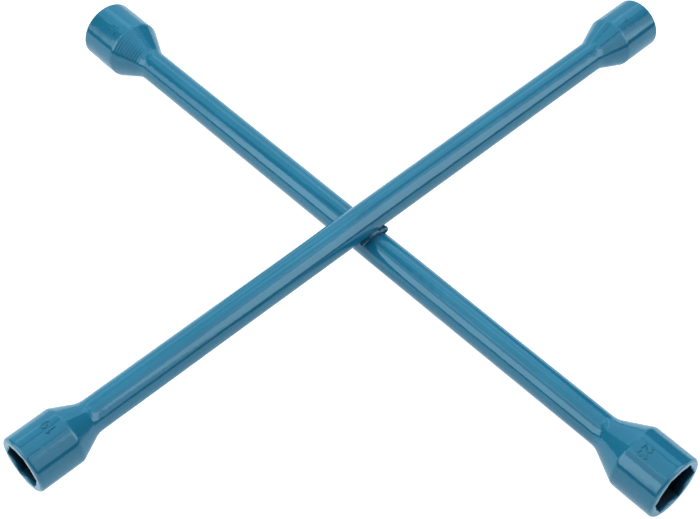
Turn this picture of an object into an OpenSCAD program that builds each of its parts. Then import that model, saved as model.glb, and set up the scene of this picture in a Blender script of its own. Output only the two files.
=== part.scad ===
// Four-way lug wrench: two round bars crossed and welded, with a hex socket head
// welded on each of the four ends. The whole tool is rigid.
// X runs along the upper bar, Y along the lower bar and Z up. The origin is at the
// middle of the footprint, on the surface that the lower bar's larger head touches.

/* [Bars] */
// Diameter of both bars
bar_d = 16; // [14:0.5:18]
// Length of the tool along the upper bar, from socket mouth to socket mouth
upper_span = 402; // [360:1:450]
// Length of the tool along the lower bar, from socket mouth to socket mouth
lower_span = 398; // [360:1:450]
// Height of the upper bar's axis above the lower bar's; less than bar_d, so the bars nest
axis_rise = 13; // [11:0.5:13.5]
// Where the upper bar crosses the lower one, measured along Y from the middle
cross_shift = -4.5; // [-8:0.5:8]

/* [Socket heads] */
// Outside diameter of the 17 mm head
od_17 = 27; // [25:0.5:29]
// Outside diameter of the 19 mm head
od_19 = 28; // [27:0.5:31]
// Outside diameter of the 21 mm head
od_21 = 31.5; // [30:0.5:34]
// Outside diameter of the 23 mm head
od_23 = 32; // [31.5:0.5:36]
// Length of the straight cylinder of a head
head_len = 23; // [22:0.5:28]
// Length of the bar-sized neck behind a head's cone
neck_len = 6; // [6:0.5:10]
// Depth of each hexagon
hex_depth = 20; // [16:0.5:20]
// Play added to each hexagon's size across its flats
hex_play = 0.3; // [0.1:0.1:0.5]
// Rounding of the outer edge at a mouth
edge_round = 1.5; // [0.5:0.1:2]

/* [Welds] */
// Diameter of the spigot at a bar's end, which sits in the head's blind hole
spigot_d = 10; // [8:0.5:11]
// Length of that spigot
spigot_len = 8; // [6:0.5:9]
// Half the width of the V groove between bar and head
groove = 2.2; // [1.5:0.1:2.3]
// How far a neck weld stands proud of the bar
weld_crown = 0.2; // [0.2:0.1:1]
// Radius of the fillet beads at the crossing
bead_r = 2.6; // [2:0.1:3]

/* [Hidden] */
$fn = 96;
paint = "#3c87af";
bead_paint = "#2f7093";
bar_r = bar_d / 2;
spigot_r = spigot_d / 2;
root_r = spigot_r + 1.2;
low_z = max(od_21, od_23) / 2;
high_z = low_z + axis_rise;
// The four directions, turned from +X about Z
east = 0;
north = 90;
west = 180;
south = 270;
// Length of each head's cone, from its cylinder to its neck
cone_17 = 14;
cone_19 = 12.5;
cone_21 = 15;
cone_23 = 16;
// Rounding where the cylinder meets the cone, and where the cone meets the neck
shoulder_round = 5;
neck_round = 12;
// Stud clearance under a hexagon: its width against the flats, its depth, a drill's point
stud_share = 0.7;
stud_len = 5;
point_angle = 118;
// The lead-in at a mouth is a shallow cone, a little wider than the flats
lead_in = 0.9;
arc_steps = 6;
// The beads follow the lower bar's round top, this far each way from its crown
bead_path_r = bar_r + 0.4;
bead_out = bar_r - 0.2;
bead_reach = 55;
puddle_r = bead_r + 0.3;
overlap = 0.01;

function unit(v) = v / norm(v);

// Points of the arc of radius r that rounds the corner at b, between a and c
function corner_arc(a, b, c, r) =
    let (u = unit(a - b),
         w = unit(c - b),
         half = acos(u * w) / 2,
         o = b + unit(u + w) * r / sin(half),
         s = b + u * r / tan(half) - o,
         e = b + w * r / tan(half) - o,
         start = atan2(s.y, s.x),
         swing = (atan2(e.y, e.x) - start + 540) % 360 - 180)
    [for (i = [0 : arc_steps])
        o + r * [cos(start + swing * i / arc_steps), sin(start + swing * i / arc_steps)]];

function head_total(cone) = head_len + cone + neck_len;

// Half outline of a head: x is the radius, y = 0 is the mouth and y runs back below it
function head_outline(od, cone) =
    let (r = od / 2,
         rear = -head_total(cone),
         neck = [bar_r, -head_len - cone],
         shoulder = [r, -head_len])
    concat([[0, rear], [root_r, rear], [bar_r, rear + groove]],
           corner_arc([bar_r, rear], neck, shoulder, neck_round),
           corner_arc(neck, shoulder, [r, 0], shoulder_round),
           corner_arc(shoulder, [r, 0], [0, 0], edge_round),
           [[0, 0]]);

// One head, its mouth at z = 0 and facing +Z, its hexagon turned about Z
module head(od, flats, cone, turn) {
    hex_r = (flats + hex_play) / sqrt(3);
    mouth_r = flats / 2 + lead_in;
    stud_r = flats * stud_share / 2;
    stud_end = hex_depth + stud_len;
    difference() {
        rotate_extrude() polygon(head_outline(od, cone));
        rotate(turn) translate([0, 0, -hex_depth])
            cylinder(r = hex_r, h = hex_depth + 1, $fn = 6);
        translate([0, 0, -lead_in - overlap])
            cylinder(r1 = mouth_r - lead_in, r2 = mouth_r + overlap, h = lead_in + 2 * overlap);
        translate([0, 0, -stud_end]) cylinder(r = stud_r, h = stud_end);
        translate([0, 0, -stud_end - stud_r / tan(point_angle / 2)])
            cylinder(r1 = 0, r2 = stud_r, h = stud_r / tan(point_angle / 2));
        translate([0, 0, -head_total(cone) - 1]) cylinder(r = spigot_r, h = spigot_len + 1);
    }
}

// The weld ring that fills the V groove behind a head
module neck_weld(cone) {
    translate([0, 0, -head_total(cone)]) rotate_extrude()
        polygon([[root_r, 0], [bar_r, -groove], [bar_r + weld_crown, -groove / 2],
                 [bar_r + weld_crown, groove / 2], [bar_r, groove]]);
}

// A bar along Z, between the shoulders that the two heads butt against
module bar(low, high) {
    rotate_extrude() polygon([
        [0, low - spigot_len], [spigot_r, low - spigot_len], [spigot_r, low],
        [root_r, low], [bar_r, low + groove], [bar_r, high - groove],
        [root_r, high], [spigot_r, high], [spigot_r, high + spigot_len],
        [0, high + spigot_len]]);
}

// Stands a head or its weld at the end of the upper or the lower bar
module on_upper(heading) {
    translate([0, cross_shift, high_z]) rotate(heading)
        translate([upper_span / 2, 0, 0]) rotate([0, 90, 0]) children();
}

module on_lower(heading) {
    translate([0, 0, low_z]) rotate(heading)
        translate([lower_span / 2, 0, 0]) rotate([0, 90, 0]) children();
}

module lower_rod() {
    translate([0, 0, low_z]) rotate([-90, 0, 0])
        bar(head_total(cone_23) - lower_span / 2, lower_span / 2 - head_total(cone_21));
}

module upper_rod() {
    translate([0, cross_shift, high_z]) rotate([0, 90, 0])
        bar(head_total(cone_19) - upper_span / 2, upper_span / 2 - head_total(cone_17));
}

// A fillet bead beside the upper bar, over the lower bar's top; side is -1 or 1
module centre_weld(side) {
    difference() {
        translate([0, cross_shift + side * bead_out, low_z]) rotate([90, 0, 0]) {
            rotate(90 - bead_reach) rotate_extrude(angle = 2 * bead_reach)
                translate([bead_path_r, 0]) circle(r = bead_r);
            for (end = [-1, 1])
                rotate(90 + end * bead_reach) translate([bead_path_r, 0, 0]) sphere(r = puddle_r);
        }
        lower_rod();
        upper_rod();
    }
}

module upper_bar() {
    color(paint) difference() {
        upper_rod();
        lower_rod();
    }
}

module lower_bar() {
    color(paint) lower_rod();
}

module socket_17mm() {
    color(paint) on_upper(east) head(od_17, 17, cone_17, 30);
}

module socket_19mm() {
    color(paint) on_upper(west) head(od_19, 19, cone_19, 38);
}

module socket_21mm() {
    color(paint) on_lower(north) head(od_21, 21, cone_21, 30);
}

module socket_23mm() {
    color(paint) on_lower(south) head(od_23, 23, cone_23, 25);
}

module neck_weld_17mm() {
    color(bead_paint) on_upper(east) neck_weld(cone_17);
}

module neck_weld_19mm() {
    color(bead_paint) on_upper(west) neck_weld(cone_19);
}

module neck_weld_21mm() {
    color(bead_paint) on_lower(north) neck_weld(cone_21);
}

module neck_weld_23mm() {
    color(bead_paint) on_lower(south) neck_weld(cone_23);
}

module centre_weld_front() {
    color(bead_paint) centre_weld(-1);
}

module centre_weld_rear() {
    color(bead_paint) centre_weld(1);
}

upper_bar();
lower_bar();
socket_17mm();
socket_19mm();
socket_21mm();
socket_23mm();
neck_weld_17mm();
neck_weld_19mm();
neck_weld_21mm();
neck_weld_23mm();
centre_weld_front();
centre_weld_rear();
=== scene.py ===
import math

import bpy
import numpy as np
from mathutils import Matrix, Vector


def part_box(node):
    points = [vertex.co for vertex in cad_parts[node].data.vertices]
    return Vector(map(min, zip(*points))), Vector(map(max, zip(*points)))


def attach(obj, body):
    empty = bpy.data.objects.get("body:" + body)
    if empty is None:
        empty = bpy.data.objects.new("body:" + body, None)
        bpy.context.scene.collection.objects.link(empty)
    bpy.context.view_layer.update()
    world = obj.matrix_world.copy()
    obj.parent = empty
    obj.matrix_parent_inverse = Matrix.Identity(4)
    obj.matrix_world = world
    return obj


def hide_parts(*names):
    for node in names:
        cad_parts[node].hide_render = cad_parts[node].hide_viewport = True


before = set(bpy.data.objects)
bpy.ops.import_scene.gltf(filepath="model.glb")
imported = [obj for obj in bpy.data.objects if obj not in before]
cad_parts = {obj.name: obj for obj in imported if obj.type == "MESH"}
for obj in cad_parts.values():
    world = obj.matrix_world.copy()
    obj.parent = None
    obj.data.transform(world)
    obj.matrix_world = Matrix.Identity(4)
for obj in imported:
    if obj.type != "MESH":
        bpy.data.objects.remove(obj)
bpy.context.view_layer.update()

# Lengths below are in millimetres unless a name says otherwise
MM = 0.001

# Each head, by its size: which way it points, its hexagon's turn and the place of its numerals
# round it, all in degrees, and the height of the turning marks on its cone
HEADS = {
    "17": dict(heading=0, turn=30, numeral_angle=200, cone_marks=0.008),
    "19": dict(heading=180, turn=38, numeral_angle=178, cone_marks=0.012),
    "21": dict(heading=90, turn=30, numeral_angle=156, cone_marks=0.024),
    "23": dict(heading=270, turn=25, numeral_angle=194, cone_marks=0.006),
}

# Heads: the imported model's own values
CYLINDER_LENGTH = 23
NECK_LENGTH = 6
HEX_DEPTH = 20
HEX_PLAY = 0.3
STUD_SHARE = 0.7
STUD_LENGTH = 5
DRILL_POINT = 118
LEAD_IN = 0.9
EDGE_ROUND = 1.5
NECK_ROUND = 12.0
GROOVE = 2.2
SPIGOT_R = 5.0
SPIGOT_LENGTH = 8
ROOT_R = SPIGOT_R + 1.2

# Heads: values that only this model has
SHOULDER_ROUND = 3.6
SPIGOT_BEVEL = 0.4
INNER_BEVEL = 0.25
BEVEL_DEPTH = 0.22
MARK_PITCH = 1.4
TURNING_PITCH = 0.9

# Rows at the end of a head's inside that carry the outside's enamel: the lead-in, the bevel
# and one row of the hexagon
RIM_ROWS = 13

# Numerals stand proud of a head's cylinder, their middle this deep behind the mouth
NUMERAL_DEPTH = 16.2
NUMERAL_HEIGHT = 4.4
NUMERAL_PITCH = 3.7
STROKE_HALF = 0.27
STROKE_EDGE = 0.2
STROKE_RISE = 0.42

# Neck welds
NECK_CROWN = 0.03
NECK_SINK = 0.03
NECK_REACH = 3.2

# Beads at the crossing: the side of the upper bar, -1 for the front, and how far the bead
# reaches round the lower bar each way from its top, in degrees
BEADS = {
    "front": dict(side=-1, reach=(-62.0, 55.0), seed=30),
    "rear": dict(side=1, reach=(-55.0, 50.0), seed=32),
}
BEAD_R = 1.45
BEAD_OUT = 7.0
BEAD_RIPPLE = 0.07
BEAD_RIPPLE_PITCH = 1.7
LUMP_ANGLE = 52
LUMP_WIDTH = 9

# Edges that bend more than this, in degrees, are shaded sharp
SHARP_ANGLE = 38


def bow(cx, cy, rx, ry, start, end, steps=14):
    """Points of an elliptic arc, its angles in degrees."""
    angles = np.radians(np.linspace(start, end, steps))
    return [(cx + rx * math.cos(a), cy + ry * math.sin(a)) for a in angles]


# Strokes of each numeral in a box one unit high, as points joined by straight lines
NUMERALS = {
    "1": [[(-0.14, 0.78), (0.06, 1.0), (0.06, 0.0)]],
    "2": [bow(0, 0.72, 0.27, 0.28, 165, -35) + [(-0.27, 0.0), (0.29, 0.0)]],
    "3": [bow(0, 0.75, 0.25, 0.25, 150, -90) + bow(0, 0.25, 0.27, 0.25, 90, -150)],
    "7": [[(-0.27, 1.0), (0.28, 1.0), (-0.06, 0.0)]],
    "9": [bow(0, 0.7, 0.27, 0.3, 0, 360, 22), [(0.27, 0.7)] + bow(-0.05, 0.5, 0.32, 0.5, 15, -75)],
}


def smooth_step(x):
    """A ramp from 0 to 1 that starts and ends level."""
    x = np.clip(x, 0, 1)
    return x * x * (3 - 2 * x)


def wander(seed, *coordinates):
    """Smooth, seeded unevenness between about -1 and 1, from a few crossed waves."""
    rng = np.random.default_rng(seed)
    total = 0
    for _ in range(5):
        phase = rng.uniform(0, 2 * math.pi)
        total = total + np.sin(sum(rng.uniform(-1, 1) * c for c in coordinates) + phase)
    return total / 3


# ---------------------------------------------------------------- outlines

def corner_arc(before, corner, after, radius, steps):
    """Points of the arc that rounds the corner between two straight lines."""
    before, corner, after = (np.array(p, float) for p in (before, corner, after))
    u = (before - corner) / np.linalg.norm(before - corner)
    w = (after - corner) / np.linalg.norm(after - corner)
    half = math.acos(float(u @ w)) / 2
    centre = corner + (u + w) / np.linalg.norm(u + w) * radius / math.sin(half)
    first = corner + u * radius / math.tan(half) - centre
    last = corner + w * radius / math.tan(half) - centre
    start = math.atan2(first[1], first[0])
    swing = (math.atan2(last[1], last[0]) - start + math.pi) % (2 * math.pi) - math.pi
    angles = start + swing * np.linspace(0, 1, steps)
    return [tuple(centre + radius * np.array([math.cos(a), math.sin(a)])) for a in angles]


def subdivided(points, pitch):
    """The same outline with no step longer than the pitch."""
    out = [points[0]]
    for a, b in zip(points, points[1:]):
        n = max(1, math.ceil(math.dist(a, b) / pitch(a, b)))
        out += [tuple(np.array(a) + (np.array(b) - np.array(a)) * i / n) for i in range(1, n + 1)]
    return out


def hexagon_radius(angle, turn, flats):
    """Distance from a hexagon's middle to its side, in the direction of each angle."""
    apothem = (flats + HEX_PLAY) / 2
    folded = np.mod(angle - math.radians(turn), math.pi / 3) - math.pi / 6
    sharp = apothem / np.cos(folded)
    return np.minimum(sharp, 2 * apothem / math.sqrt(3) - 0.12)


# ---------------------------------------------------------------- meshes

def closed_mesh(name, rows, first_pole=None, last_pole=None, ring=False, slots=None):
    """A closed mesh from rows of points that go round.

    It ends in a pole at each end, or is joined end to end as a ring. The slots give each row's
    place in the list of materials.
    """
    count, round_count = rows.shape[:2]
    points = rows.reshape(-1, 3)
    steps = count if ring else count - 1
    i, j = np.meshgrid(np.arange(steps), np.arange(round_count), indexing="ij")
    below, beside = (i + 1) % count, (j + 1) % round_count
    quads = np.stack([i * round_count + j, below * round_count + j,
                      below * round_count + beside, i * round_count + beside], -1).reshape(-1, 4)
    faces = quads.tolist()
    face_slots = [] if slots is None else np.repeat(slots[:steps], round_count).tolist()
    for pole, row, flip in ((first_pole, 0, False), (last_pole, count - 1, True)):
        if pole is None:
            continue
        points = np.vstack([points, pole])
        ring_ids = row * round_count + np.arange(round_count)
        for a, b in zip(ring_ids.tolist(), np.roll(ring_ids, -1).tolist()):
            faces.append([len(points) - 1, b, a] if flip else [len(points) - 1, a, b])
        if slots is not None:
            face_slots += [slots[0] if row == 0 else slots[-1]] * round_count
    mesh = bpy.data.meshes.new(name)
    mesh.from_pydata((points * MM).tolist(), [], faces)
    if signed_volume(mesh) < 0:
        mesh.flip_normals()
    if slots is not None:
        mesh.polygons.foreach_set("material_index", face_slots)
    mesh.shade_smooth()
    mesh.set_sharp_from_angle(angle=math.radians(SHARP_ANGLE))
    mesh.validate()
    mesh.update()
    return mesh


def signed_volume(mesh):
    """Six times the mesh's volume, and below zero if its faces point inwards."""
    mesh.calc_loop_triangles()
    corners = np.empty(len(mesh.loop_triangles) * 3, np.int32)
    mesh.loop_triangles.foreach_get("vertices", corners)
    places = np.empty(len(mesh.vertices) * 3, np.float32)
    mesh.vertices.foreach_get("co", places)
    a, b, c = places.reshape(-1, 3)[corners.reshape(-1, 3)].transpose(1, 0, 2)
    return float((a * np.cross(b, c)).sum())


def add_piece(mesh, node, materials):
    """Puts a finished mesh in the scene in place of its CAD node."""
    piece = bpy.data.objects.new(mesh.name, mesh)
    bpy.context.scene.collection.objects.link(piece)
    for material in materials:
        mesh.materials.append(material)
    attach(piece, "root")
    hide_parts(node)
    return piece


def spread_attribute(mesh, name, values):
    """Stores one number for each point, for the materials to read."""
    attribute = mesh.attributes.new(name, "FLOAT", "POINT")
    attribute.data.foreach_set("value", np.asarray(values, np.float32))


# ---------------------------------------------------------------- heads

def head_place(node, heading):
    """Mouth centre, outside radius and total length of a head, and its axes as rows."""
    lo, hi = (np.array(c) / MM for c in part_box(node))
    h = math.radians(heading)
    outward = np.array([round(math.cos(h)), round(math.sin(h)), 0])
    axes = np.array([[0, 0, -1], [-outward[1], outward[0], 0], outward], float)
    total = float(abs((hi - lo) @ outward))
    mouth = (lo + hi) / 2 + outward * total / 2
    return mouth, (hi - lo)[2] / 2, total, axes


def head_angles(turn, numeral_angle, radius):
    """Angles round a head: even, with more at the hexagon's corners and under the numerals."""
    least_gap = 0.0018
    corners = math.radians(turn) + np.arange(6) * math.pi / 3
    near = np.radians([-1.6, -0.7, -0.25, 0, 0.25, 0.7, 1.6])
    span = (NUMERAL_PITCH * 1.15 + 0.6) / radius
    numerals = math.radians(numeral_angle) + np.arange(-span, span, 0.17 / radius)
    even = np.arange(120) * 2 * math.pi / 120
    angles = np.concatenate([even, (corners[:, None] + near).ravel(), numerals])
    angles = np.unique(np.round(np.mod(angles, 2 * math.pi), 5))
    return angles[np.diff(angles, prepend=-1) > least_gap]


def numeral_rise(text, across, up):
    """How far the numerals stand proud at each place on the unrolled cylinder."""
    nearest = np.full(across.shape, 1e9)
    for k, digit in enumerate(text):
        shift = (k - (len(text) - 1) / 2) * NUMERAL_PITCH
        for stroke in NUMERALS[digit]:
            for (ax, ay), (bx, by) in zip(stroke, stroke[1:]):
                a = np.array([ax, ay - 0.5]) * NUMERAL_HEIGHT + [shift, 0]
                d = np.array([bx - ax, by - ay]) * NUMERAL_HEIGHT
                along = ((across - a[0]) * d[0] + (up - a[1]) * d[1]) / (d @ d)
                along = np.clip(along, 0, 1)
                gap = np.hypot(across - a[0] - along * d[0], up - a[1] - along * d[1])
                nearest = np.minimum(nearest, gap)
    return STROKE_RISE * smooth_step((STROKE_HALF + STROKE_EDGE / 2 - nearest) / STROKE_EDGE)


def drill_tip(flats):
    """Depth of the point that the drill leaves at the end of the stud bore."""
    stud_r = flats * STUD_SHARE / 2
    return HEX_DEPTH + STUD_LENGTH + stud_r / math.tan(math.radians(DRILL_POINT / 2))


def head_inside(angles, turn, flats):
    """Rows from the drill point out to the rim: the stud bore, the hexagon and its lead-in."""
    one = np.ones_like(angles)
    hexagon = hexagon_radius(angles, turn, flats)
    stud_r = flats * STUD_SHARE / 2
    stud_end = HEX_DEPTH + STUD_LENGTH
    cone_depth = stud_r / math.tan(math.radians(DRILL_POINT / 2))
    mouth_r = flats / 2 + LEAD_IN
    rows = [(stud_end + cone_depth * (1 - s), stud_r * s * one) for s in (0.03, 0.5, 0.97)]
    rows += [(d, stud_r * one) for d in np.linspace(stud_end - 0.1, HEX_DEPTH + 0.3, 5)]
    rows += [(HEX_DEPTH + 0.05, (stud_r + 0.25) * one)]
    rows += [(HEX_DEPTH, stud_r + (hexagon - stud_r) * s) for s in (0.2, 0.6, 0.9)]
    rows += [(HEX_DEPTH - 0.05, hexagon - 0.1), (HEX_DEPTH - 0.3, hexagon)]
    rows += [(d, hexagon) for d in np.linspace(HEX_DEPTH - 1.5, LEAD_IN + 0.4, 12)]
    rows += [(d, np.maximum(hexagon, mouth_r - d)) for d in np.linspace(LEAD_IN, BEVEL_DEPTH, 9)]
    rim = np.maximum(hexagon, mouth_r - BEVEL_DEPTH)
    for angle in (35, 65, 90):
        a = math.radians(angle)
        rows.append((BEVEL_DEPTH * (1 - math.sin(a)), rim + INNER_BEVEL * (1 - math.cos(a))))
    return rows, rim + INNER_BEVEL


def head_outside(radius, total, bar_r):
    """Outline from the rim's outer edge back to the groove: (depth, radius) pairs."""
    shoulder = (CYLINDER_LENGTH, radius)
    neck = (total - NECK_LENGTH, bar_r)
    outline = corner_arc((0, 0), (0, radius), shoulder, EDGE_ROUND, 9)
    outline += corner_arc((0, radius), shoulder, neck, SHOULDER_ROUND, 8)
    outline += corner_arc(shoulder, neck, (total, bar_r), NECK_ROUND, 10)
    outline += [(total - GROOVE, bar_r)]

    def pitch(a, b):
        """Fine on the cylinder's wall, for the numerals, and on the cone, for the marks."""
        if b[0] > CYLINDER_LENGTH:
            return 0.24
        return 0.2 if math.dist(a, b) > 8 else 1.0

    return subdivided(outline, pitch)


def worked_radius(depth, r, size, radius, total, angles, numeral_angle, cone_marks):
    """A head's radius at each angle: numerals, turning marks and a slight sway."""
    surface = r * np.ones_like(angles)
    up = NUMERAL_DEPTH - depth
    if abs(up) < NUMERAL_HEIGHT / 2 + 0.6:
        across = np.mod(angles - math.radians(numeral_angle) + math.pi, 2 * math.pi) - math.pi
        surface = surface + numeral_rise(size, across * radius, np.full_like(across, up))
    fade = smooth_step((depth - CYLINDER_LENGTH + 2) / 2)
    fade = fade * smooth_step((total - NECK_LENGTH + 3 - depth) / 4)
    marks = cone_marks * math.cos(2 * math.pi * depth / MARK_PITCH)
    turning = 0.004 * math.cos(2 * math.pi * depth / TURNING_PITCH) * smooth_step((depth - 2) / 2)
    sway = 0.02 * wander(int(size), angles * 3, np.full_like(angles, depth * 0.35))
    ease = smooth_step((depth - EDGE_ROUND) / 3) * smooth_step((total - GROOVE - depth) / 3)
    return surface + fade * marks + turning * ease * (1 - fade) + sway * ease


def spread_head_looks(mesh, depths, inside_rows, round_count):
    """Stores where the enamel is thin, at the rim and shoulder, and how deep the well is, for the
    painted shade that darkens the well.
    """
    edge = np.exp(-((np.abs(depths) / 0.9) ** 2))
    edge = edge + 0.08 * np.exp(-(((depths - CYLINDER_LENGTH) / 1.1) ** 2))
    edge[:inside_rows - RIM_ROWS] = 0
    well = np.zeros(len(depths))
    # The well's colour darkens with this depth: painted shade
    well[:inside_rows - 2] = smooth_step(depths[:inside_rows - 2] / 5)
    spread_attribute(mesh, "edge", np.append(np.repeat(edge, round_count), [0, 0]))
    spread_attribute(mesh, "well", np.append(np.repeat(well, round_count), [1, 0]))


def head_mesh(name, size, heading, turn, numeral_angle, cone_marks, bar_r):
    """One socket head, closed, with its hexagon, stud bore, rim, numerals and spigot hole."""
    mouth, radius, total, axes = head_place(name, heading)
    angles = head_angles(turn, numeral_angle, radius)
    one = np.ones_like(angles)
    rows, rim = head_inside(angles, turn, float(size))
    inside_rows = len(rows)
    flat_end = radius - EDGE_ROUND
    rows += [(0.0, rim + (flat_end - rim) * s) for s in (0.35, 0.7)]
    rows += [(depth, worked_radius(depth, r, size, radius, total, angles, numeral_angle, cone_marks))
             for depth, r in head_outside(radius, total, bar_r)]
    rows += [(total - GROOVE * (1 - s), (bar_r + (ROOT_R - bar_r) * s) * one) for s in (0.5, 1)]
    rows += [(total, (SPIGOT_R + SPIGOT_BEVEL) * one), (total - SPIGOT_BEVEL, SPIGOT_R * one)]
    rows += [(total - SPIGOT_LENGTH * s, SPIGOT_R * one) for s in (0.5, 1)]
    depths = np.array([row[0] for row in rows])
    radii = np.array([row[1] for row in rows])
    local = np.stack([radii * np.cos(angles), radii * np.sin(angles),
                      np.broadcast_to(-depths[:, None], radii.shape)], -1)
    slots = np.zeros(len(rows), int)
    slots[:inside_rows - RIM_ROWS] = 1
    mesh = closed_mesh(f"head_{size}mm", local @ axes + mouth,
                       first_pole=mouth - axes[2] * drill_tip(float(size)),
                       last_pole=mouth - axes[2] * (total - SPIGOT_LENGTH), slots=slots)
    spread_head_looks(mesh, depths, inside_rows, len(angles))
    return mesh


# ---------------------------------------------------------------- bars

def bar_stations(low, high, bar_r, dense_at):
    """Outline of a bar with its spigots and bevels, closely spaced where the bars cross."""
    straight = [low + GROOVE]
    while straight[-1] < high - GROOVE - 0.4:
        near = abs(straight[-1] - dense_at) < 11
        straight.append(straight[-1] + (0.35 if near else 1.6))
    straight[-1] = high - GROOVE
    low_end = low - SPIGOT_LENGTH
    high_end = high + SPIGOT_LENGTH
    tip_r = SPIGOT_R - SPIGOT_BEVEL
    first = [(low_end, tip_r), (low_end + SPIGOT_BEVEL, SPIGOT_R), (low, SPIGOT_R), (low, ROOT_R)]
    last = [(high, ROOT_R), (high, SPIGOT_R), (high_end - SPIGOT_BEVEL, SPIGOT_R), (high_end, tip_r)]
    return first + [(s, bar_r) for s in straight] + last


def bar_mesh(name, low, high, bar_r, axis, side, centre, seed, dense_at=0.0, saddle=None):
    """A drawn round bar along an axis, slightly uneven, with its spigots."""
    outline = bar_stations(low, high, bar_r, dense_at)
    angles = np.arange(112) * 2 * math.pi / 112
    stations = np.array([p[0] for p in outline])[:, None]
    radii = np.array([p[1] for p in outline])[:, None] * np.ones_like(angles)
    ease = smooth_step((stations - low - 4) / 8) * smooth_step((high - 4 - stations) / 8)
    drawn = wander(seed, stations * 0.09, 2 * np.sin(angles)[None, :])
    dents = wander(seed + 1, stations * 0.45, 3 * np.cos(angles)[None, :])
    radii = radii + ease * (0.03 * drawn + 0.01 * dents)
    up = np.array([0, 0, 1.0])
    points = (np.array(centre, float) + stations[..., None] * axis
              + (radii * np.cos(angles))[..., None] * side
              + (radii * np.sin(angles))[..., None] * up)
    if saddle is not None:
        points = saddle(points)
    return closed_mesh(name, points,
                       first_pole=np.array(centre) + axis * (low - SPIGOT_LENGTH),
                       last_pole=np.array(centre) + axis * (high + SPIGOT_LENGTH))


def saddle_over(axis_z, bar_r):
    """Presses points that lie inside the lower bar up to its surface."""
    def press(points):
        """Lifts the points between the lower bar's flanks that are below its top."""
        reach = bar_r ** 2 - points[..., 0] ** 2
        top = axis_z + np.sqrt(np.maximum(reach, 0))
        inside = (reach > 0) & (points[..., 2] < top)
        points[..., 2] = np.where(inside, top, points[..., 2])
        return points
    return press


# ---------------------------------------------------------------- welds

def neck_weld_mesh(name, node, bar_r, seed):
    """The weld ring behind a head: nearly flush outside, and a V down to the spigot inside."""
    lo, hi = (np.array(c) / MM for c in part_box(node))
    centre, size = (lo + hi) / 2, hi - lo
    along = int(np.argmin(size))
    axis = np.eye(3)[along]
    side = np.eye(3)[1 - along]
    angles = np.arange(144) * 2 * math.pi / 144
    crown = np.linspace(-NECK_REACH, NECK_REACH, 27)
    lift = NECK_CROWN * 0.5 * (1 + np.cos(math.pi * crown / NECK_REACH))
    scales = np.cos(14 * angles[None, :] + 0.9 * crown[:, None] ** 2)
    uneven = wander(seed, 2 * np.sin(angles)[None, :], 2 * np.cos(angles)[None, :], crown[:, None])
    radii = bar_r - NECK_SINK + lift[:, None] * (1 + 0.16 * scales + 0.25 * uneven)
    v_sides = [(NECK_REACH - 0.2, bar_r - 0.3), (GROOVE * 0.9, bar_r - 0.45),
               (GROOVE * 0.5, (bar_r + ROOT_R) / 2), (0, ROOT_R),
               (-GROOVE * 0.5, (bar_r + ROOT_R) / 2), (-GROOVE * 0.9, bar_r - 0.45),
               (-NECK_REACH + 0.2, bar_r - 0.3)]
    stations = np.concatenate([crown, [s for s, _ in v_sides]])
    radii = np.vstack([radii, [np.full_like(angles, r) for _, r in v_sides]])
    points = (centre + stations[:, None, None] * axis
              + (radii * np.cos(angles))[..., None] * side
              + (radii * np.sin(angles))[..., None] * np.array([0, 0, 1.0]))
    return closed_mesh(name, points, ring=True)


def centre_weld_mesh(name, cross_y, low_z, bar_r, side, reach, seed):
    """A rippled fillet bead beside the upper bar, over the lower one, with a lump near one end."""
    first, last = np.radians(reach)
    phi = np.linspace(first, last, 92)
    lump = np.exp(-((phi + side * math.radians(LUMP_ANGLE)) / math.radians(LUMP_WIDTH)) ** 2)
    body = BEAD_R + 0.12 * np.cos(2 * phi)
    travel = phi * (bar_r + 1)
    ripple = BEAD_RIPPLE * np.abs(np.cos(math.pi * travel / BEAD_RIPPLE_PITCH))
    rho = body + 0.9 * lump + ripple + 0.05 * wander(seed, travel * 0.8)
    ends = np.minimum(travel - travel[0], travel[-1] - travel) / rho
    cap = np.sqrt(np.clip(1 - (1 - np.clip(ends, 0, 1)) ** 2, 0.004, 1))
    path_r = bar_r + 0.75 + 0.55 * lump
    out = BEAD_OUT - 0.55 * (phi / math.radians(45)) ** 2 + 0.9 * lump
    centre_y = cross_y + side * out
    around = np.arange(40) * 2 * math.pi / 40
    radial = np.stack([np.sin(phi), np.zeros_like(phi), np.cos(phi)], -1)
    base = np.stack([np.zeros_like(phi), centre_y, np.full_like(phi, low_z)], -1)
    spine = radial * path_r[:, None] + base
    scale = (rho * cap)[:, None, None]
    rough = 1 + 0.03 * wander(seed + 3, 2 * np.sin(around)[None, :], 2 * travel[:, None])
    points = spine[:, None, :] + scale * rough[..., None] * (
        np.cos(around)[None, :, None] * radial[:, None, :]
        + np.sin(around)[None, :, None] * np.array([0, 1.0, 0]))
    return closed_mesh(name, points, first_pole=spine[0] - (spine[1] - spine[0]) * 0.05,
                       last_pole=spine[-1] + (spine[-1] - spine[-2]) * 0.05)


# ---------------------------------------------------------------- materials

def new_material(name):
    """A material that holds only a shader and its output; returns it, its tree and its shader."""
    material = bpy.data.materials.new(name)
    material.use_nodes = True
    tree = material.node_tree
    tree.nodes.clear()
    out = tree.nodes.new("ShaderNodeOutputMaterial")
    shader = tree.nodes.new("ShaderNodeBsdfPrincipled")
    tree.links.new(shader.outputs["BSDF"], out.inputs["Surface"])
    return material, tree, shader


def add_node(tree, kind, **settings):
    """A node with its inputs set by name or number, and its other settings by attribute."""
    node = tree.nodes.new("ShaderNode" + kind)
    for key, value in settings.pop("inputs", {}).items():
        if isinstance(value, bpy.types.NodeSocket):
            tree.links.new(value, node.inputs[key])
        else:
            node.inputs[key].default_value = value
    for key, value in settings.items():
        setattr(node, key, value)
    return node


def noise(tree, place, scale, detail=2.0):
    """Soft noise fixed to the object; the scale is per metre."""
    return add_node(tree, "TexNoise", inputs={
        "Vector": place, "Scale": scale, "Detail": detail}).outputs["Fac"]


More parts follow.
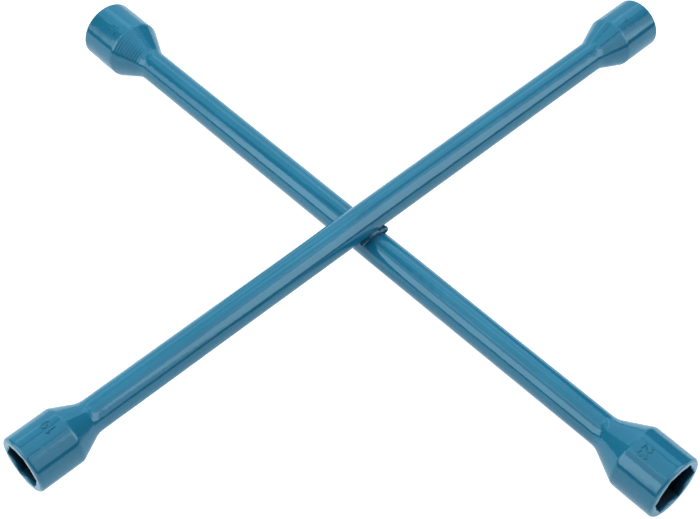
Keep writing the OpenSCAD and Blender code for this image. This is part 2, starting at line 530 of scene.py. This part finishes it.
def remap(tree, value, low, high, from_low=0.3, from_high=0.7):
    """Scales a noise value into a range, clamped."""
    return add_node(tree, "MapRange", inputs={
        "Value": value, "From Min": from_low, "From Max": from_high,
        "To Min": low, "To Max": high}).outputs["Result"]


def mix_colour(tree, share, first, second):
    """The first colour where the share is 0 and the second where it is 1."""
    node = tree.nodes.new("ShaderNodeMix")
    node.data_type = "RGBA"
    by_socket = ((node.inputs[0], share), (node.inputs[6], first), (node.inputs[7], second))
    for socket, value in by_socket:
        if isinstance(value, bpy.types.NodeSocket):
            tree.links.new(value, socket)
        else:
            socket.default_value = value
    return node.outputs[2]


def calculate(tree, operation, first, second):
    """The result of a sum or product of two numbers or sockets."""
    node = add_node(tree, "Math", operation=operation)
    for socket, value in zip(node.inputs, (first, second)):
        if isinstance(value, bpy.types.NodeSocket):
            tree.links.new(value, socket)
        else:
            socket.default_value = value
    return node.outputs[0]


def object_place(tree):
    """Places on the object in its own metres, so the looks stay put."""
    return add_node(tree, "TexCoord").outputs["Object"]


ENAMEL = dict(deep=(0.008, 0.150, 0.258, 1), pale=(0.011, 0.172, 0.292, 1),
              edge=(0.070, 0.300, 0.470, 1), gloss=(0.05, 0.09), peel=0.00006)
# The beads' enamel is a darker copy of the bars' enamel: painted shade for the crevice where the
# bars cross
SHADED_WELD_ENAMEL = dict(deep=(0.003, 0.070, 0.135, 1), pale=(0.008, 0.135, 0.240, 1),
                   edge=(0.04, 0.22, 0.36, 1), gloss=(0.07, 0.12), peel=0.00009)
ENAMEL_TINT = (0.58, 0.86, 1.0, 1)
# Colours inside a head: dark at the well's entry and near-black deeper in, painted shade in the
# hollow over the forged steel's dark scale
WELL_ENTRY_SHADE = (0.004, 0.050, 0.095, 1)
SHADED_SCALE_DARK = (0.0015, 0.006, 0.016, 1)
SHADED_SCALE_PALE = (0.003, 0.014, 0.030, 1)


def enamel_material(name, deep, pale, edge, gloss, peel, has_edge=True):
    """Glossy baked enamel: uneven colour and gloss, orange peel, and thinner where it has edges."""
    material, tree, shader = new_material(name)
    place = object_place(tree)
    cloud = noise(tree, place, 38, 3)
    colour = mix_colour(tree, remap(tree, cloud, 0, 1), deep, pale)
    speck = remap(tree, noise(tree, place, 1900, 2), 0, 0.10, 0.62, 0.74)
    colour = mix_colour(tree, speck, colour, edge)
    if has_edge:
        wear = add_node(tree, "Attribute", attribute_name="edge").outputs["Fac"]
        patchy = remap(tree, noise(tree, place, 420, 3), 0.25, 0.85)
        colour = mix_colour(tree, calculate(tree, "MULTIPLY", wear, patchy), colour, edge)
    tree.links.new(colour, shader.inputs["Base Color"])
    rough = remap(tree, noise(tree, place, 140, 4), gloss[0], gloss[1])
    tree.links.new(rough, shader.inputs["Roughness"])
    shader.inputs["IOR"].default_value = 1.5
    shader.inputs["Specular IOR Level"].default_value = 1.0
    shader.inputs["Specular Tint"].default_value = ENAMEL_TINT
    broad = noise(tree, place, 260, 2)
    fine = noise(tree, place, 1300, 2)
    height = calculate(tree, "ADD", broad, calculate(tree, "MULTIPLY", fine, 0.25))
    bump = add_node(tree, "Bump", inputs={"Height": height, "Distance": peel, "Strength": 1.0})
    tree.links.new(bump.outputs["Normal"], shader.inputs["Normal"])
    return material


def well_material(name):
    """Inside a head: the enamel thins out over dark scale on the forged steel, and the colour
    darkens with depth as painted shade in the well.
    """
    material, tree, shader = new_material(name)
    place = object_place(tree)
    patches = remap(tree, noise(tree, place, 300, 4), 0, 1)
    scale = mix_colour(tree, patches, SHADED_SCALE_DARK, SHADED_SCALE_PALE)
    depth = add_node(tree, "Attribute", attribute_name="well").outputs["Fac"]
    # Darker deeper into the well: painted shade
    colour = mix_colour(tree, depth, WELL_ENTRY_SHADE, scale)
    tree.links.new(colour, shader.inputs["Base Color"])
    rough = remap(tree, noise(tree, place, 500, 3), 0.30, 0.48)
    tree.links.new(rough, shader.inputs["Roughness"])
    shader.inputs["IOR"].default_value = 1.45
    shader.inputs["Specular IOR Level"].default_value = 0.5
    grit = noise(tree, place, 1600, 3)
    bump = add_node(tree, "Bump", inputs={"Height": grit, "Distance": 0.0001, "Strength": 1.0})
    tree.links.new(bump.outputs["Normal"], shader.inputs["Normal"])
    return material


# The floor's own light, as the tool gets it and as the camera sees it
FLOOR_GLOW = (0.62, 0.95)
FLOOR_GLOW_COLOURS = ((0.78, 0.93, 1.0, 1), (1, 1, 1, 1))
FLOOR_RADIUS = 0.9
FLOOR_RIM = 0.02
FLOOR_THICKNESS = 0.05


def floor_material():
    """Pale and plain; a light of its own keeps it white to the camera and softer to the tool."""
    material, tree, shader = new_material("pale_floor")
    shader.inputs["Base Color"].default_value = (0.50, 0.50, 0.50, 1)
    shader.inputs["Roughness"].default_value = 0.9
    shader.inputs["Specular IOR Level"].default_value = 0.1
    seen = tree.nodes.new("ShaderNodeLightPath").outputs["Is Camera Ray"]
    tint = mix_colour(tree, seen, *FLOOR_GLOW_COLOURS)
    tree.links.new(tint, shader.inputs["Emission Color"])
    glow = remap(tree, seen, *FLOOR_GLOW, 0, 1)
    tree.links.new(glow, shader.inputs["Emission Strength"])
    return material


# ---------------------------------------------------------------- studio

def make_floor(middle):
    """A round pale table top, on which the tool lies."""
    flat = FLOOR_RADIUS - FLOOR_RIM
    outline = [(0.2, 0.0), (0.5, 0.0), (flat, 0.0)]
    outline += [(flat + FLOOR_RIM * math.sin(a), FLOOR_RIM * (math.cos(a) - 1))
                for a in np.radians([30, 60, 90])]
    outline += [(FLOOR_RADIUS, -FLOOR_THICKNESS), (0.2, -FLOOR_THICKNESS)]
    angles = np.arange(96) * 2 * math.pi / 96
    rows = np.array([[(middle[0] + r * math.cos(a), middle[1] + r * math.sin(a), z)
                      for a in angles] for r, z in outline]) / MM
    centre = np.array([middle[0], middle[1], 0]) / MM
    below = centre - [0, 0, FLOOR_THICKNESS / MM]
    mesh = closed_mesh("table_top", rows, first_pole=centre, last_pole=below)
    mesh.materials.append(floor_material())
    floor = bpy.data.objects.new("table_top", mesh)
    bpy.context.scene.collection.objects.link(floor)


LAMP_DISTANCE = 1.4
WHITE = (1, 1, 1)
COOL = (0.62, 0.90, 1.0)


def softbox(name, target, azimuth, elevation, width, height, radiance, tint):
    """A rectangular light that faces the tool; its angles are in degrees, from +X towards +Y."""
    a, e = math.radians(azimuth), math.radians(elevation)
    back = Vector((math.cos(a) * math.cos(e), math.sin(a) * math.cos(e), math.sin(e)))
    data = bpy.data.lights.new(name, "AREA")
    data.shape = "RECTANGLE"
    data.size, data.size_y = width, height
    data.energy = radiance * math.pi * width * height
    data.color = tint
    light = bpy.data.objects.new(name, data)
    light.location = Vector(target) + back * LAMP_DISTANCE
    light.rotation_mode = "QUATERNION"
    light.rotation_quaternion = (-back).to_track_quat("-Z", "Y")
    light.visible_camera = False
    bpy.context.scene.collection.objects.link(light)
    return light


ROOM_DIMNESS = 0.12


def make_world():
    """A white room to the camera, and a dim one to everything that the lamps light."""
    world = bpy.data.worlds.new("studio")
    bpy.context.scene.world = world
    world.use_nodes = True
    tree = world.node_tree
    tree.nodes.clear()
    dim = tree.nodes.new("ShaderNodeBackground")
    dim.inputs["Color"].default_value = (0.90, 0.95, 1.0, 1)
    dim.inputs["Strength"].default_value = ROOM_DIMNESS
    white = tree.nodes.new("ShaderNodeBackground")
    white.inputs["Color"].default_value = (1, 1, 1, 1)
    white.inputs["Strength"].default_value = 1.0
    path = tree.nodes.new("ShaderNodeLightPath")
    mix = tree.nodes.new("ShaderNodeMixShader")
    out = tree.nodes.new("ShaderNodeOutputWorld")
    tree.links.new(path.outputs["Is Camera Ray"], mix.inputs[0])
    tree.links.new(dim.outputs[0], mix.inputs[1])
    tree.links.new(white.outputs[0], mix.inputs[2])
    tree.links.new(mix.outputs[0], out.inputs["Surface"])


# Each lamp: azimuth, elevation, half width and half height in degrees, radiance, tint, and
# whether it is seen in gloss, lights diffusely or does both. Two lamps overlap where the
# photo's reflections have a brighter core.
LAMPS = {
    "key_right": (-57, 33, 15, 23, 1.25, WHITE, "gloss"),
    "key_right_wide": (-64, 41, 28, 29, 0.95, WHITE, "gloss"),
    "key_left": (152, 27, 20, 18, 1.45, WHITE, "gloss"),
    "key_left_wide": (164, 38, 24, 28, 0.75, WHITE, "gloss"),
    "backdrop": (56, 18, 34, 24, 0.70, COOL, "both"),
    "backdrop_high": (54, 48, 32, 15, 0.70, COOL, "gloss"),
    "fill": (14, 52, 22, 14, 0.35, COOL, "gloss"),
    "top": (90, 86, 26, 20, 1.0, COOL, "both"),
    "sky": (110, 60, 20, 20, 5.0, WHITE, "diffuse"),
    "front": (-40, 30, 25, 20, 1.8, COOL, "diffuse"),
}


def make_lights(target):
    """Sets the softboxes round the crossing, each facing it."""
    for name, (azimuth, elevation, half_width, half_height, *light) in LAMPS.items():
        radiance, tint, kind = light
        width = 2 * LAMP_DISTANCE * math.tan(math.radians(half_width))
        height = 2 * LAMP_DISTANCE * math.tan(math.radians(half_height))
        lamp = softbox(name, target, azimuth, elevation, width, height, radiance, tint)
        lamp.visible_diffuse = kind != "gloss"
        lamp.visible_glossy = kind != "diffuse"


# Where the camera stands in the part's frame, its tilt, roll and pan in degrees, and its lens
CAMERA_PLACE = (-341.2, -365.6, 612.4)
CAMERA_ANGLES = (38.978, 0.429, -43.101)
FOCAL_LENGTH = 82.085
SENSOR_WIDTH = 36


def make_camera():
    """The camera at the photo's angle, without depth of field or shift."""
    data = bpy.data.cameras.new("camera")
    data.sensor_width = SENSOR_WIDTH
    data.lens = FOCAL_LENGTH
    data.clip_start = 0.05
    data.clip_end = 20
    camera = bpy.data.objects.new("camera", data)
    camera.location = Vector(CAMERA_PLACE) * MM
    camera.rotation_euler = [math.radians(angle) for angle in CAMERA_ANGLES]
    bpy.context.scene.collection.objects.link(camera)
    bpy.context.scene.camera = camera


# ---------------------------------------------------------------- the wrench

def build_wrench():
    """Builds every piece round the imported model's boxes and returns where the bars cross."""
    upper_lo, upper_hi = (np.array(c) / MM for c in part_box("upper_bar"))
    lower_lo, lower_hi = (np.array(c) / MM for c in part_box("lower_bar"))
    bar_r = (lower_hi - lower_lo)[2] / 2
    high_z = upper_hi[2] - bar_r
    low_z = ((lower_lo + lower_hi) / 2)[2]
    cross_y = ((upper_lo + upper_hi) / 2)[1]

    bar_enamel = enamel_material("bar_enamel", **ENAMEL, has_edge=False)
    head_enamel = enamel_material("socket_enamel", **ENAMEL)
    # The beads take the darker enamel copy: painted shade at the crossing
    weld_enamel = enamel_material("weld_enamel", **SHADED_WELD_ENAMEL, has_edge=False)
    neck_enamel = enamel_material("neck_enamel", **ENAMEL, has_edge=False)
    well = well_material("shaded_socket_well")

    x, y = np.array([1.0, 0, 0]), np.array([0, 1.0, 0])
    upper = bar_mesh("bar_upper", upper_lo[0] + SPIGOT_LENGTH, upper_hi[0] - SPIGOT_LENGTH,
                     bar_r, x, y, (0, cross_y, high_z), seed=11,
                     saddle=saddle_over(low_z, bar_r))
    add_piece(upper, "upper_bar", [bar_enamel])
    lower = bar_mesh("bar_lower", lower_lo[1] + SPIGOT_LENGTH, lower_hi[1] - SPIGOT_LENGTH,
                     bar_r, y, x, (0, 0, low_z), seed=21, dense_at=cross_y)
    add_piece(lower, "lower_bar", [bar_enamel])
    for size, look in HEADS.items():
        head = head_mesh(f"socket_{size}mm", size, bar_r=bar_r, **look)
        add_piece(head, f"socket_{size}mm", [head_enamel, well])
        ring = neck_weld_mesh(f"neck_bead_{size}mm", f"neck_weld_{size}mm", bar_r, int(size))
        add_piece(ring, f"neck_weld_{size}mm", [neck_enamel])
    for end, look in BEADS.items():
        bead = centre_weld_mesh(f"centre_bead_{end}", cross_y, low_z, bar_r, **look)
        add_piece(bead, f"centre_weld_{end}", [weld_enamel])
    return Vector((0, cross_y * MM, high_z * MM))


crossing = build_wrench()
make_floor(crossing)
make_world()
make_lights(crossing)
make_camera()

view = bpy.context.scene.view_settings
view.view_transform = "Standard"
view.look = "None"
